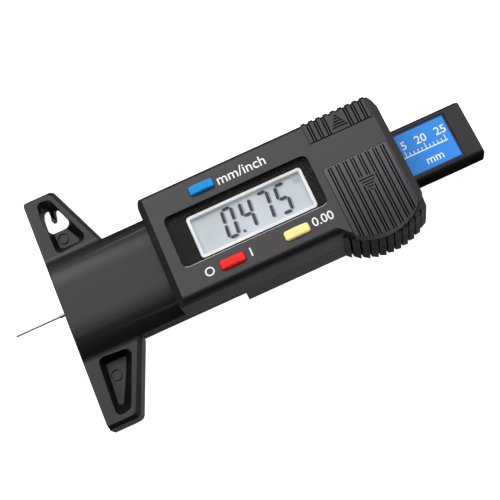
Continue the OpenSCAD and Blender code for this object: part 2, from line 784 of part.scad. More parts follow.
module beam_label() {
    color("#4a90e2") box([label_x0 + 0.15, -label_half + 0.15, beam_top - 0.25],
        [label_x1 - 0.15, label_half - 0.15, beam_top - 0.1]);
}

module probe_pin() {
    color("silver") rotate([0, 90, 0]) {
        translate([0, 0, -probe_out]) cylinder(r1 = needle_r * 0.6, r2 = needle_r, h = 0.4);
        translate([0, 0, -probe_out + 0.4]) cylinder(r = needle_r, h = probe_out);
        translate([0, 0, -1.6]) cylinder(r = shank_r, h = 27.6);
    }
}

module probe_holder() {
    color("#c9a45c") difference() {
        rotate([0, 90, 0]) translate([0, 0, beam_nose - 0.2]) cylinder(r = holder_r - 0.03, h = 6);
        rotate([0, 90, 0]) cylinder(r = shank_r + 0.01, h = 40);
        translate([lock_x, 0, 0]) cylinder(r = 0.8, h = 6);
    }
}

module probe_lock_screw() {
    color("#555555") difference() {
        translate([lock_x, 0, shank_r + 0.02]) cylinder(r = 0.78, h = beam_top - 0.6);
        translate([lock_x, 0, shank_r + 1.6]) cylinder(r = 0.42, h = 3, $fn = 6);
    }
}

module stop_screw() {
    color("silver") difference() {
        union() {
            translate([stop_x, 0, -beam_bottom - 0.95]) cylinder(r = head_r, h = 0.92);
            translate([stop_x, 0, -beam_bottom - 0.3]) cylinder(r = stop_r, h = 2.6);
        }
        translate([stop_x - 0.9, -0.18, -beam_bottom - 1]) cube([1.8, 0.36, 0.5]);
    }
}

base_frame();
front_housing();
rear_cover();
display_window();
lcd_frame();
lcd_glass();
contact_strips();
main_board();
chip_cover();
crystal();
capacitors();
tact_switches();
unit_button();
power_button();
zero_button();
battery_cover();
coin_cell();
battery_contact_pos();
battery_contact_neg();
housing_screws();
board_screws();
friction_spring();
beam();
scale_board();
beam_label();
probe_pin();
probe_holder();
probe_lock_screw();
stop_screw();
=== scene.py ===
"""Looks of a digital tyre tread depth gauge: edge detail, materials, digits, marks, camera and light."""
import json
import math

import bmesh
import bpy
from mathutils import Matrix, Vector
from mathutils.bvhtree import BVHTree
from mathutils.kdtree import KDTree

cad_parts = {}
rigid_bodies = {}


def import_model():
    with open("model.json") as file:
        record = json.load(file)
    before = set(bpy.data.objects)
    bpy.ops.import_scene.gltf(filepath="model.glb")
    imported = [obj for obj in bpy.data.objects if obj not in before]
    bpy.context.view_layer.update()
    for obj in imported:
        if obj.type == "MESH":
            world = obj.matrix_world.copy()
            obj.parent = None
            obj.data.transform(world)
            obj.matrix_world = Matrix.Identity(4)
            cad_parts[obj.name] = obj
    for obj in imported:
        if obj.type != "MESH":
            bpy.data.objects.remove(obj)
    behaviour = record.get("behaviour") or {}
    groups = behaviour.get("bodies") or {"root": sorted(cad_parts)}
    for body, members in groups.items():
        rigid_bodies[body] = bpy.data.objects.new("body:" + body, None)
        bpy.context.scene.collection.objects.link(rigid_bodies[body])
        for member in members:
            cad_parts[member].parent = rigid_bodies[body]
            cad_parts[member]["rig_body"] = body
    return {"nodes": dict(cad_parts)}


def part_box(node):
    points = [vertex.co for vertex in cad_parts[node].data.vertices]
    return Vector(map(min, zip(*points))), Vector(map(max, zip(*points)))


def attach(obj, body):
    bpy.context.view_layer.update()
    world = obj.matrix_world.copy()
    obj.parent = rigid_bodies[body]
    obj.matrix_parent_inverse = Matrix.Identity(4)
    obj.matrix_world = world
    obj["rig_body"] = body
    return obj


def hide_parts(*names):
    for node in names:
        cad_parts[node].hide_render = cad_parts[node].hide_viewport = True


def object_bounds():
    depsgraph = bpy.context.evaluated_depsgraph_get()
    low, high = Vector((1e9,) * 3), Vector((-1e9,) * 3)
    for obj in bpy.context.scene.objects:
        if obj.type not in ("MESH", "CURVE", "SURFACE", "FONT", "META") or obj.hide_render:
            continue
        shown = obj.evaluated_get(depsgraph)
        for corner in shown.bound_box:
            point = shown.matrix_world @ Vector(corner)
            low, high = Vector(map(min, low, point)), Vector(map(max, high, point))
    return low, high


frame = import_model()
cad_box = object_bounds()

MM = 0.001
SHARP = math.radians(28)  # edges that turn more than this get a rounded corner
CREASE = math.radians(37)  # faces that turn more than this don't share a smooth normal
ROUND_STEPS = 3  # faces across a rounded corner
GRIP_FROM, GRIP_TO = 64, 68  # X in millimetres over which the walls change to the toothed grip's
THUMB_FROM, THUMB_TO = -15, 1  # Y in millimetres over which the battery cover gets shinier


# ---- Materials -----------------------------------------------------------------------------------


def grey(level, warmth=0.0):
    """A neutral display level from 0 to 255 as a linear colour, with a touch of mauve for warmth above 0."""
    return rgb(level * (1 + warmth), level * (1 - warmth), level * (1 + 0.6 * warmth))


def rgb(*levels):
    """Display levels from 0 to 255 as a linear colour."""
    linear = []
    for level in levels:
        s = min(max(level / 255, 0), 1)
        linear.append(s / 12.92 if s <= 0.04045 else ((s + 0.055) / 1.055) ** 2.4)
    return (*linear, 1.0)


def tinted(colour, factor, limit=math.inf):
    """A linear colour made darker or lighter, with no channel above the limit."""
    return [min(c * factor, limit) for c in colour[:3]] + [1]


class Look:
    """A Principled material and short ways to give it fine detail. Scales are in millimetres."""

    def __init__(self, name, colour, roughness, **settings):
        self.material = bpy.data.materials.new(name)
        self.material.use_nodes = True
        self.nodes = self.material.node_tree.nodes
        self.links = self.material.node_tree.links
        self.shader = self.nodes["Principled BSDF"]
        self.shader.inputs["Base Color"].default_value = colour
        self.shader.inputs["Roughness"].default_value = roughness
        for key, value in settings.items():
            self.shader.inputs[key.replace("_", " ")].default_value = value
        self.normal = None
        self.place = self.add("ShaderNodeTexCoord").outputs["Object"]

    def add(self, kind, settings=None, **inputs):
        node = self.nodes.new(kind)
        for key, value in (settings or {}).items():
            setattr(node, key, value)
        for key, value in inputs.items():
            socket = node.inputs[key.replace("_", " ")]
            if isinstance(value, bpy.types.NodeSocket):
                self.links.new(value, socket)
            else:
                socket.default_value = value
        return node

    def stretched(self, x=1, y=1, z=1):
        """The object's coordinates, so that a texture is drawn out along the axes with a value below 1."""
        return self.add("ShaderNodeMapping", Vector=self.place, Scale=(x, y, z)).outputs["Vector"]

    def noise(self, size, detail=3.0, rough=0.55, place=None):
        return self.add("ShaderNodeTexNoise", Vector=place or self.place, Scale=1 / (size * MM),
                        Detail=detail, Roughness=rough).outputs["Fac"]

    def ramp(self, factor, low, high, to_low=0.0, to_high=1.0):
        return self.add("ShaderNodeMapRange", Value=factor, From_Min=low, From_Max=high,
                        To_Min=to_low, To_Max=to_high).outputs["Result"]

    def blend(self, factor, first, second):
        """Mixes two colours. Either may be a socket."""
        mix = self.nodes.new("ShaderNodeMix")
        mix.data_type = "RGBA"
        for index, value in ((0, factor), (6, first), (7, second)):
            if isinstance(value, bpy.types.NodeSocket):
                self.links.new(value, mix.inputs[index])
            else:
                mix.inputs[index].default_value = value
        return mix.outputs[2]

    def bumps(self, height, strength, depth):
        """Adds a layer of relief, depth millimetres high, on top of what is there."""
        bump = self.add("ShaderNodeBump", Height=height, Strength=strength, Distance=depth * MM)
        if self.normal:
            self.links.new(self.normal, bump.inputs["Normal"])
        self.normal = bump.outputs["Normal"]
        self.links.new(self.normal, self.shader.inputs["Normal"])
        return self

    def edges(self, radius):
        """1 along outer and inner edges, 0 on flat faces."""
        rounded = self.add("ShaderNodeBevel", {"samples": 4}, Radius=radius * MM).outputs["Normal"]
        flat = self.add("ShaderNodeNewGeometry").outputs["Normal"]
        turn = self.add("ShaderNodeVectorMath", {"operation": "DOT_PRODUCT"})
        self.links.new(rounded, turn.inputs[0])
        self.links.new(flat, turn.inputs[1])
        return self.ramp(turn.outputs["Value"], 0.995, 0.9)

    def paint(self, colour_socket):
        self.links.new(colour_socket, self.shader.inputs["Base Color"])
        return self

    def finish(self, roughness_socket):
        self.links.new(roughness_socket, self.shader.inputs["Roughness"])
        return self

    def link_sheen(self, level_socket):
        self.links.new(level_socket, self.shader.inputs["Specular IOR Level"])


def moulded(name, colour, roughness, sheen, edge_highlight_gain=2.2, walls=None, grip_walls=None, tilts=(0.1, 0.9)):
    """Moulded plastic with a fine spark-eroded grain, slow flow marks, a painted highlight that lightens its
    edges, and a few specks.

    Where walls is given, upright faces have that lower sheen, and those of the toothed grip have grip_walls.
    """
    look = Look(name, colour, roughness, Specular_IOR_Level=sheen, Specular_Tint=(1, 0.95, 1, 1))
    fine = look.noise(0.12, detail=2.0)
    slow = look.noise(14, detail=2.0)
    specks = look.ramp(look.noise(0.5, detail=1.0), 0.74, 0.78)
    base = look.blend(look.ramp(slow, 0.35, 0.65), tinted(colour, 0.88), tinted(colour, 1.12))
    base = look.blend(look.ramp(specks, 0, 1, 0, 0.25), base, tinted(colour, 4, limit=1))
    # Painted highlight: every edge is painted lighter, by the given gain, where light would catch it.
    edge_highlight = look.edges(0.12)
    look.paint(look.blend(look.ramp(edge_highlight, 0, 1, 0, 0.35), base, tinted(colour, edge_highlight_gain, limit=1)))
    look.finish(look.ramp(fine, 0.3, 0.7, roughness - 0.05, roughness + 0.06))
    look.bumps(slow, 0.25, 0.03)
    look.bumps(fine, 0.35, 0.02)
    if walls is not None:
        dull_walls(look, sheen, walls, walls if grip_walls is None else grip_walls, tilts)
    return look


def dull_walls(look, sheen, walls, grip_walls, tilts):
    """Lowers the sheen from upward faces to walls; tilts gives the normal's Z at which each begins."""
    flat = look.add("ShaderNodeNewGeometry").outputs["Normal"]
    upward = look.add("ShaderNodeSeparateXYZ", Vector=flat).outputs["Z"]
    along = look.add("ShaderNodeSeparateXYZ", Vector=look.place).outputs["X"]
    side = look.ramp(along, GRIP_FROM * MM, GRIP_TO * MM, walls, grip_walls)
    look.link_sheen(look.ramp(upward, *tilts, side, sheen))


def thumb_polished(look, low, high):
    """Raises the sheen along Y from low to high, where a thumb rubs the battery cover."""
    along = look.add("ShaderNodeSeparateXYZ", Vector=look.place).outputs["Y"]
    look.link_sheen(look.ramp(along, THUMB_FROM * MM, THUMB_TO * MM, low, high))
    return look


def gloss_cap(name, colour, deep_and_edge_shade):
    """A soft-touch push button: saturated and satin, with painted shade darkening its edges, its foot among
    them.
    """
    look = Look(name, colour, 0.3, Specular_IOR_Level=0.2, Coat_Weight=0.08, Coat_Roughness=0.2,
                Subsurface_Weight=0.15, Subsurface_Scale=0.6 * MM)
    slow = look.noise(1.6, detail=2.0)
    body = look.blend(look.ramp(slow, 0.35, 0.65, 0, 0.18), colour, deep_and_edge_shade)
    # Painted shade: the edges are blended towards the deeper colour.
    look.paint(look.blend(look.ramp(look.edges(0.18), 0, 1, 0, 0.3), body, deep_and_edge_shade))
    look.finish(look.ramp(look.noise(0.3), 0.3, 0.7, 0.24, 0.34))
    look.bumps(look.noise(0.18), 0.12, 0.01)
    return look.material


def metal(name, colour, roughness, along=(1, 1, 1)):
    """Machined or drawn metal: fine lines along the axes given a value below 1."""
    look = Look(name, colour, roughness, Metallic=1.0)
    lines = look.noise(0.06, detail=3.0, place=look.stretched(*along))
    tarnish = look.noise(1.2)
    look.paint(look.blend(look.ramp(tarnish, 0.35, 0.7, 0, 0.35), colour, tinted(colour, 0.62)))
    look.finish(look.ramp(lines, 0.3, 0.7, roughness - 0.08, roughness + 0.12))
    look.bumps(lines, 0.2, 0.006)
    return look.material


def printed(name, colour, roughness=0.45, sheen=0.3):
    """Thick ink: an even colour that varies a little, with a slight orange peel."""
    look = Look(name, colour, roughness, Specular_IOR_Level=sheen)
    look.paint(look.blend(look.noise(0.4), tinted(colour, 0.92), colour))
    look.bumps(look.noise(0.12), 0.15, 0.006)
    return look.material


def circuit_board():
    """Green solder mask over fine copper tracks."""
    mask = rgb(22, 92, 48)
    look = Look("circuit_board", mask, 0.32, Coat_Weight=0.4, Coat_Roughness=0.15)
    cells = look.add("ShaderNodeTexVoronoi", {"feature": "DISTANCE_TO_EDGE", "distance": "MANHATTAN"},
                     Vector=look.place, Scale=1 / (1.8 * MM)).outputs["Distance"]
    track = look.ramp(cells, 0.06, 0.1, 1, 0)
    look.paint(look.blend(track, mask, rgb(54, 138, 72)))
    look.bumps(track, 0.4, 0.03)
    return look.material


def liquid_crystal():
    """Silver-grey display: a pale polariser with a faint vertical sheen painted into its colour."""
    look = Look("lcd", rgb(218, 222, 228), 0.35, Specular_IOR_Level=0.4)
    # Painted sheen: streaks of a lighter grey stand in for a reflection.
    sheen = look.noise(6, detail=1.0, place=look.stretched(1, 0.3, 1))
    look.paint(look.blend(look.ramp(sheen, 0.3, 0.7), rgb(196, 204, 210), rgb(210, 217, 222)))
    look.bumps(look.noise(0.05), 0.05, 0.004)
    return look.material


def clear_pane():
    """Clear acrylic, slightly smoky, seen as a thin film over what is below it."""
    look = Look("window_pane", grey(30), 0.06, Alpha=0.05, Specular_IOR_Level=0.06)
    look.bumps(look.noise(4, detail=1.0), 0.05, 0.02)
    look.finish(look.ramp(look.noise(0.9), 0.35, 0.7, 0.04, 0.1))
    return look.material


def lit_edge():
    """The chamfered rim of the acrylic, made to glow as a painted highlight: a bright line."""
    look = Look("pane_rim_highlight", grey(245), 0.3, Emission_Color=grey(255), Emission_Strength=0.3)
    look.paint(look.blend(look.noise(0.8), grey(215), grey(255)))
    return look.material


def rubber():
    """Elastomer connector: thin conducting layers between insulating ones."""
    look = Look("contact_rubber", rgb(196, 140, 140), 0.6)
    layers = look.add("ShaderNodeTexWave", {"bands_direction": "X"}, Vector=look.place,
                      Scale=1 / (0.5 * MM)).outputs["Fac"]
    look.paint(look.blend(look.ramp(layers, 0.45, 0.55), rgb(205, 150, 150), grey(30)))
    return look.material


def plain_matt(name, colour, roughness, size=0.3):
    """A matt moulding, such as epoxy or ceramic, with a mottled colour and a soft relief."""
    look = Look(name, colour, roughness)
    look.paint(look.blend(look.noise(size), tinted(colour, 0.75), colour))
    look.bumps(look.noise(size / 2), 0.3, 0.02)
    return look.material


BLACK_HOUSING = grey(16, 0.03)
BLACK_FRAME = grey(14, 0.02)
LOOKS = {
    "frame_plastic": moulded("frame_plastic", BLACK_FRAME, 0.36, 0.43, walls=0.14).material,
    "housing_plastic": moulded("housing_plastic", BLACK_HOUSING, 0.38, 0.58, walls=0.58,
                               grip_walls=0.12).material,
    "door_plastic": thumb_polished(moulded("door_plastic", BLACK_HOUSING, 0.36, 0.5), 0.42, 0.9).material,
    "cover_plastic": moulded("cover_plastic", BLACK_FRAME, 0.4, 0.5, walls=0.46, grip_walls=0.1).material,
    "beam_plastic": moulded("beam_plastic", grey(12), 0.42, 0.36, walls=0.0, tilts=(0.3, 1.0)).material,
    "window_pane": clear_pane(),
    "pane_rim_highlight": lit_edge(),
    "pane_mask": printed("pane_mask", grey(14), 0.35, 0.14),
    "white_plastic": moulded("white_plastic", grey(246), 0.35, 0.3, edge_highlight_gain=1.0).material,
    "lcd": liquid_crystal(),
    "lcd_faint_mark_and_shadow": printed("lcd_faint_mark_and_shadow", rgb(158, 166, 176), 0.4),
    "lcd_ink": printed("lcd_ink", rgb(62, 66, 78), 0.4),
    "contact_rubber": rubber(),
    "circuit_board": circuit_board(),
    "epoxy": plain_matt("epoxy", grey(20), 0.3),
    "ceramic_chip": plain_matt("ceramic_chip", rgb(150, 118, 78), 0.5, 0.2),
    "steel": metal("steel", grey(205), 0.24, along=(0.05, 1, 1)),
    "needle_steel": metal("needle_steel", grey(150, -0.02), 0.28, along=(0.03, 1, 1)),
    "dark_steel": metal("dark_steel", grey(95), 0.35),
    "cell_steel": metal("cell_steel", grey(215), 0.2, along=(1, 0.1, 1)),
    "bronze": metal("bronze", rgb(205, 160, 92), 0.3, along=(0.1, 1, 1)),
    "label": printed("label", rgb(48, 140, 232), 0.38, 0.2),
    # painted shadow around the label
    "label_edge_shade": printed("label_edge_shade", rgb(16, 34, 84), 0.4),
    "white_ink": printed("white_ink", grey(250), 0.5),
    "blue_key": gloss_cap("blue_key", rgb(0, 142, 212), rgb(0, 84, 180)),
    "red_key": gloss_cap("red_key", rgb(236, 26, 14), rgb(160, 8, 8)),
    "yellow_key": gloss_cap("yellow_key", rgb(250, 236, 158), rgb(222, 190, 84)),
}


# ---- Geometry ------------------------------------------------------------------------------------

FLAT = 0.5  # degrees; edges that turn less than this lie in one flat face
SAME_PLANE = 0.99996  # cosine above which two faces belong to one flat region
ROOM_SHARE = 0.38  # share of a face's width that the rounding of one edge may take
STRAY = 0.2  # millimetres that a rounded mesh may leave the surface it came from
FOLDED = 0.25  # a triangle whose normal agrees less than this with that surface is a fault
TINY = 2e-10  # square metres; smaller triangles aren't judged
HEALING_TRIES = 6
FAULT_REACH = 2.2  # edges within this many roundings of a fault are rounded less
EASED = 0.4  # share of its rounding that such an edge keeps
BOLD = 0.004  # how much a printed character's strokes are swollen, as a share of its size


def room_beside(edge, face):
    """How far the face reaches from this edge before another edge of it lies opposite."""
    a, b = (v.co for v in edge.verts)
    middle = (a + b) / 2
    inward = face.normal.cross((b - a).normalized())
    loop = next(corner for corner in edge.link_loops if corner.face == face)
    if loop.vert != edge.verts[0]:
        inward.negate()
    nearest = 1.0
    for other in face.edges:
        if other == edge:
            continue
        p, q = (v.co for v in other.verts)
        span = q - p
        t = min(max((middle - p).dot(span) / max(span.length_squared, 1e-16), 0), 1)
        gap = p + span * t - middle
        if gap.dot(inward) > 0.5 * gap.length:
            nearest = min(nearest, gap.length)
    return nearest


def cleaned(mesh, round_mm):
    """The mesh with whole flat faces, a weight on each sharp edge, then good triangles."""
    bm = bmesh.new()
    bm.from_mesh(mesh)
    bmesh.ops.remove_doubles(bm, verts=bm.verts, dist=1e-6)
    bmesh.ops.dissolve_limit(bm, angle_limit=math.radians(FLAT), verts=bm.verts, edges=bm.edges)
    weight = bm.edges.layers.float.new("bevel_weight_edge")
    for edge in bm.edges:
        if len(edge.link_faces) == 2 and edge.calc_face_angle() > SHARP:
            room = min(room_beside(edge, face) for face in edge.link_faces)
            edge[weight] = min(1, ROOM_SHARE * room / (round_mm * MM))
    bmesh.ops.triangulate(bm, faces=[f for f in bm.faces if len(f.verts) > 3], ngon_method="BEAUTY")
    return bm


def rounded(bm, round_mm):
    """A new mesh with the weighted edges of bm rounded off."""
    base = bpy.data.meshes.new("rounding")
    bm.to_mesh(base)
    holder = bpy.data.objects.new("rounding", base)
    bpy.context.scene.collection.objects.link(holder)
    bevel = holder.modifiers.new("corners", "BEVEL")
    bevel.limit_method = "WEIGHT"
    bevel.width = round_mm * MM
    bevel.segments = ROUND_STEPS
    bevel.use_clamp_overlap = False
    bevel.loop_slide = False
    bpy.context.view_layer.update()
    mesh = bpy.data.meshes.new_from_object(holder.evaluated_get(bpy.context.evaluated_depsgraph_get()))
    bpy.data.objects.remove(holder)
    return mesh


def faults(mesh, tree):
    """Places where a rounded mesh folds over or leaves the surface it came from."""
    mesh.calc_loop_triangles()
    found = []
    for triangle in mesh.loop_triangles:
        if triangle.area < TINY:
            continue
        centre = sum((mesh.vertices[i].co for i in triangle.vertices), Vector()) / 3
        _, normal, _, distance = tree.find_nearest(centre)
        if distance > STRAY * MM or normal.dot(triangle.normal) < FOLDED:
            found += [mesh.vertices[i].co.copy() for i in triangle.vertices]
    return found


def healed(bm, round_mm):
    """Rounds the edges, and again with less rounding near each fault, until none is left or the tries run
    out.
    """
    tree = BVHTree.FromBMesh(bm)
    weight = bm.edges.layers.float["bevel_weight_edge"]
    for attempt in range(HEALING_TRIES):
        mesh = rounded(bm, round_mm)
        spots = faults(mesh, tree)
        if not spots:
            break
        places = KDTree(len(spots))
        for index, spot in enumerate(spots):
            places.insert(spot, index)
        places.balance()
        reach = FAULT_REACH * round_mm * MM
        less = EASED if attempt < HEALING_TRIES - 3 else 0
        for edge in bm.edges:
            if edge[weight] > 0 and any(places.find(v.co)[2] < reach for v in edge.verts):
                edge[weight] *= less
    return mesh


def flat_areas(bm):
    """For each face, the area of the flat region that it belongs to."""
    areas = [0.0] * len(bm.faces)
    seen = set()
    for face in bm.faces:
        if face.index in seen:
            continue
        seen.add(face.index)
        region = []
        waiting = [face]
        while waiting:
            this = waiting.pop()
            region.append(this)
            for edge in this.edges:
                for other in edge.link_faces:
                    if other.index not in seen and other.normal.dot(this.normal) > SAME_PLANE:
                        seen.add(other.index)
                        waiting.append(other)
        area = sum(member.calc_area() for member in region)
        for member in region:
            areas[member.index] = area
    return areas


def shade(mesh):
    """Smooth shading in which a large flat face stays flat right up to the rounding along its edges."""
    bm = bmesh.new()
    bm.from_mesh(mesh)
    areas = flat_areas(bm)
    limit = math.cos(CREASE)
    normals = []
    for face in bm.faces:
        for corner in face.loops:
            total = Vector()
            for other in corner.vert.link_loops:
                if other.face.normal.dot(face.normal) > limit:
                    total += other.face.normal * (areas[other.face.index] * other.calc_angle())
            normals.append(total.normalized() if total.length > 0 else face.normal.copy())
    bm.free()
    mesh.shade_smooth()
    mesh.normals_split_custom_set(normals)


def refined(node, name, look, round_mm):
    """A finer copy of a CAD node: the same shape with its corners rounded, standing for the node."""
    source = frame["nodes"][node]
    bm = cleaned(source.data, round_mm)
    mesh = healed(bm, round_mm)
    bm.free()
    shade(mesh)
    piece = new_piece(name, mesh, source["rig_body"], look)
    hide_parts(node)
    return piece


def new_piece(name, mesh, body, look):
    """A piece with one look, on a body."""
    piece = bpy.data.objects.new(name, mesh)
    bpy.context.scene.collection.objects.link(piece)
    mesh.materials.clear()
    mesh.materials.append(LOOKS[look])
    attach(piece, body)
    return piece


def slabs(name, outlines, low, high, body, look):
    """Thin plates between two heights, one for each outline of (x, y) points in millimetres."""
    mesh = bpy.data.meshes.new(name)
    bm = bmesh.new()
    for outline in outlines:
        foot = [bm.verts.new((x * MM, y * MM, low * MM)) for x, y in outline]
        top = [bm.verts.new((x * MM, y * MM, high * MM)) for x, y in outline]
        bm.faces.new(foot[::-1])
        bm.faces.new(top)
        for i in range(len(outline)):
            j = (i + 1) % len(outline)
            bm.faces.new((foot[i], foot[j], top[j], top[i]))
    bmesh.ops.recalc_face_normals(bm, faces=bm.faces)
    bm.to_mesh(mesh)
    bm.free()
    return new_piece(name, mesh, body, look)


def join_loops(bm, loops):
    """Faces between each loop of vertices and the next."""
    for this, following in zip(loops, loops[1:]):
        for i in range(len(this)):
            j = (i + 1) % len(this)
            bm.faces.new((this[i], this[j], following[j], following[i]))


def add_block(bm, low, high):
    """A box between two corners in millimetres."""
    middle = [(a + b) / 2 * MM for a, b in zip(low, high)]
    size = [(b - a) * MM for a, b in zip(low, high)]
    bmesh.ops.create_cube(bm, size=1, matrix=Matrix.LocRotScale(Vector(middle), None, Vector(size)))


def ring(name, outer, inner, low, high, body, look):
    """A flat ring between two outlines with the same number of points."""
    mesh = bpy.data.meshes.new(name)
    bm = bmesh.new()
    loops = []
    for outline, z in ((outer, low), (outer, high), (inner, high), (inner, low)):
        loops.append([bm.verts.new((x * MM, y * MM, z * MM)) for x, y in outline])
    join_loops(bm, loops + loops[:1])
    bmesh.ops.recalc_face_normals(bm, faces=bm.faces)
    bm.to_mesh(mesh)
    bm.free()
    return new_piece(name, mesh, body, look)


def round_rect(cx, cy, width, height, radius, steps=6, cuts=0):
    """Outline of a rectangle with round corners; cuts adds points along the sides that lie along X."""
    points = []
    half = width / 2 - radius
    for sx, sy, start in ((1, 1, 0), (-1, 1, 90), (-1, -1, 180), (1, -1, 270)):
        for k in range(steps + 1):
            turn = math.radians(start + 90 * k / steps)
            points.append((cx + sx * half + radius * math.cos(turn),
                           cy + sy * (height / 2 - radius) + radius * math.sin(turn)))
        if start in (0, 180):
            for k in range(1, cuts + 1):
                points.append((cx + sx * half * (1 - 2 * k / (cuts + 1)), cy + sy * height / 2))
    return points


def lettering(name, words, z, body, look, thick=0.02):
    """Printed characters as one thin mesh. Each word is (text, x, y, size) with x, y at its lower left."""
    mesh = bpy.data.meshes.new(name)
    bm = bmesh.new()
    for text, x, y, size in words:
        curve = bpy.data.curves.new(name, "FONT")
        curve.body = text
        curve.size = size * MM
        curve.offset = BOLD * size * MM
        curve.extrude = thick * MM / 2
        curve.resolution_u = 4
        holder = bpy.data.objects.new(name, curve)
        bpy.context.scene.collection.objects.link(holder)
        bpy.context.view_layer.update()
        flat = bpy.data.meshes.new_from_object(holder.evaluated_get(bpy.context.evaluated_depsgraph_get()))
        flat.transform(Matrix.Translation((x * MM, y * MM, (z + thick / 2) * MM)))
        bm.from_mesh(flat)
        bpy.data.objects.remove(holder)
    bmesh.ops.remove_doubles(bm, verts=bm.verts, dist=1e-7)
    bm.to_mesh(mesh)
    bm.free()
    return new_piece(name, mesh, body, look)


def in_mm(node):
    """A node's lowest and highest corners in millimetres."""
    low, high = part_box(node)
    return low / MM, high / MM


def middle_and_size(low, high):
    """Centre and size of a box seen from above."""
    return ((low.x + high.x) / 2, (low.y + high.y) / 2), (high.x - low.x, high.y - low.y)


FACE_Z = 13.0  # the display face
CAP_LENGTH, CAP_WIDTH = 6.0, 2.2
CAP_CORNER = 0.55  # radius of a button's corners, seen from above
CAP_EDGE = 0.4  # rounding of a button's upper edge
CAP_BOW = 14.0  # radius of the bow in a button's top
FLANGE = (FACE_Z - 2.45, FACE_Z - 1.65)  # foot and top of the flange that holds a button under the face
STEM_Z = FACE_Z - 2.4  # top of a button's stem, inside the flange


def cap_profile():
    """A cap's side from its foot to the middle of its top, as (inset, height, whether it bows)."""
    profile = [(0, FACE_Z - 1.7, False), (0, FACE_Z - CAP_EDGE, False)]
    for step in range(6):
        turn = math.radians(90 * step / 5)
        profile.append((CAP_EDGE * (1 - math.cos(turn)), CAP_EDGE * (math.sin(turn) - 1), True))
    return profile + [(CAP_EDGE + inset, 0, True) for inset in (0.3, CAP_WIDTH / 2 - CAP_EDGE - 0.03)]


def push_cap(node, name, look):
    """A push button: a cap with soft edges and a top that bows along X, over its flange and stem."""
    low, high = in_mm(node)
    (cx, cy), _ = middle_and_size(low, high)
    bm = bmesh.new()
    loops = []
    for inset, z, bows in cap_profile():
        corner = max(CAP_CORNER - inset, 0.02)
        outline = round_rect(0, 0, CAP_LENGTH - 2 * inset, CAP_WIDTH - 2 * inset, corner, 5, 10)
        loop = []
        for x, y in outline:
            bow = high.z - CAP_BOW + math.sqrt(CAP_BOW ** 2 - x * x) if bows else 0
            loop.append(bm.verts.new(((cx + x) * MM, (cy + y) * MM, (z + bow) * MM)))
        loops.append(loop)
    join_loops(bm, loops)
    bm.faces.new(loops[0][::-1])
    bm.faces.new(loops[-1])
    add_block(bm, (low.x, low.y, FLANGE[0]), (high.x, high.y, FLANGE[1]))
    add_block(bm, (cx - 1.3, cy - 0.75, low.z), (cx + 1.3, cy + 0.75, STEM_Z))
    bmesh.ops.recalc_face_normals(bm, faces=bm.faces)
    mesh = bpy.data.meshes.new(name)
    bm.to_mesh(mesh)
    bm.free()
    shade(mesh)
    piece = new_piece(name, mesh, frame["nodes"][node]["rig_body"], look)
    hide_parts(node)


# ---- Mouldings and metal that show ---------------------------------------------------------------

refined("base_frame", "frame_moulding", "frame_plastic", 0.3)
refined("front_housing", "housing_shell", "housing_plastic", 0.18)
refined("rear_cover", "back_shell", "cover_plastic", 0.2)
refined("battery_cover", "battery_door", "door_plastic", 0.12)
refined("beam", "beam_moulding", "beam_plastic", 0.35)
refined("lcd_frame", "display_bezel", "white_plastic", 0.12)
push_cap("unit_button", "unit_cap", "blue_key")
push_cap("power_button", "power_cap", "red_key")
push_cap("zero_button", "zero_cap", "yellow_key")
refined("housing_screws", "case_screws", "steel", 0.08)
refined("stop_screw", "travel_stop", "steel", 0.08)
refined("probe_pin", "probe_needle", "needle_steel", 0.04)

# ---- Display -------------------------------------------------------------------------------------

pane_low, pane_high = in_mm("display_window")
pane_mid, pane_size = middle_and_size(pane_low, pane_high)
glass_low, glass_high = in_mm("lcd_glass")
lcd_mid, _ = middle_and_size(glass_low, glass_high)
LCD_Z = glass_high.z
BEZEL_SIZE = (28.6, 10.6)  # the white frame where it stands in the mask
BEZEL_CORNER = 0.87

pane = refined("display_window", "display_pane", "window_pane", 0.28)
# Painted highlight: the pane's faces that look towards -Y glow as a bright line.
pane.data.materials.append(LOOKS["pane_rim_highlight"])
for face in pane.data.polygons:
    if face.normal.y < -0.5:
        face.material_index = 1
ring("pane_mask", round_rect(*pane_mid, pane_size[0] - 0.1, pane_size[1] - 0.1, 1.25),
     round_rect(*lcd_mid, BEZEL_SIZE[0] + 0.04, BEZEL_SIZE[1] + 0.04, BEZEL_CORNER),
     pane_low.z - 0.04, pane_low.z - 0.01, "gauge_body", "pane_mask")

# A seven-segment digit: half width, half height and stroke in millimetres, and its lean to the right
HALF_W, HALF_H, STROKE, LEAN = 1.14, 3.45, 0.74, 0.09
SEGMENT_GAP = 0.12  # between a bar's point and the digit's corner
SEGMENTS = {"0": "abcdef", "4": "bcfg", "7": "abc", "5": "acdfg"}
SEGMENT_AT = {  # middle of each bar, as shares of the half width and half height
    "a": (0, 1), "b": (1, 0.5), "c": (1, -0.5), "d": (0, -1), "e": (-1, -0.5), "f": (-1, 0.5), "g": (0, 0),
}
FIRST_DIGIT, DIGIT_PITCH = 44.15, 4.42  # X of the first digit, and from one digit to the next
POINT_LOW, POINT_HIGH = -3.6, -3.0  # Y of the decimal point's foot and top
DIGIT_SHADOW_SHIFT = (0.3, -0.22)  # from a digit to the shadow it throws on the display's back


def segment_outline(kind, x, y):
    """One bar of a digit centred on x, y: a lying or standing bar with pointed ends."""
    lying = kind in "adg"
    reach = (HALF_W if lying else HALF_H / 2) - SEGMENT_GAP
    s = STROKE / 2
    bar = [(-reach, 0), (-reach + s, s), (reach - s, s), (reach, 0), (reach - s, -s), (-reach + s, -s)]
    if not lying:
        bar = [(-v, u) for u, v in bar]
    across, upward = SEGMENT_AT[kind]
    points = [(across * HALF_W + u, upward * HALF_H + v) for u, v in bar]
    return [(x + u + LEAN * v, y + v) for u, v in points]


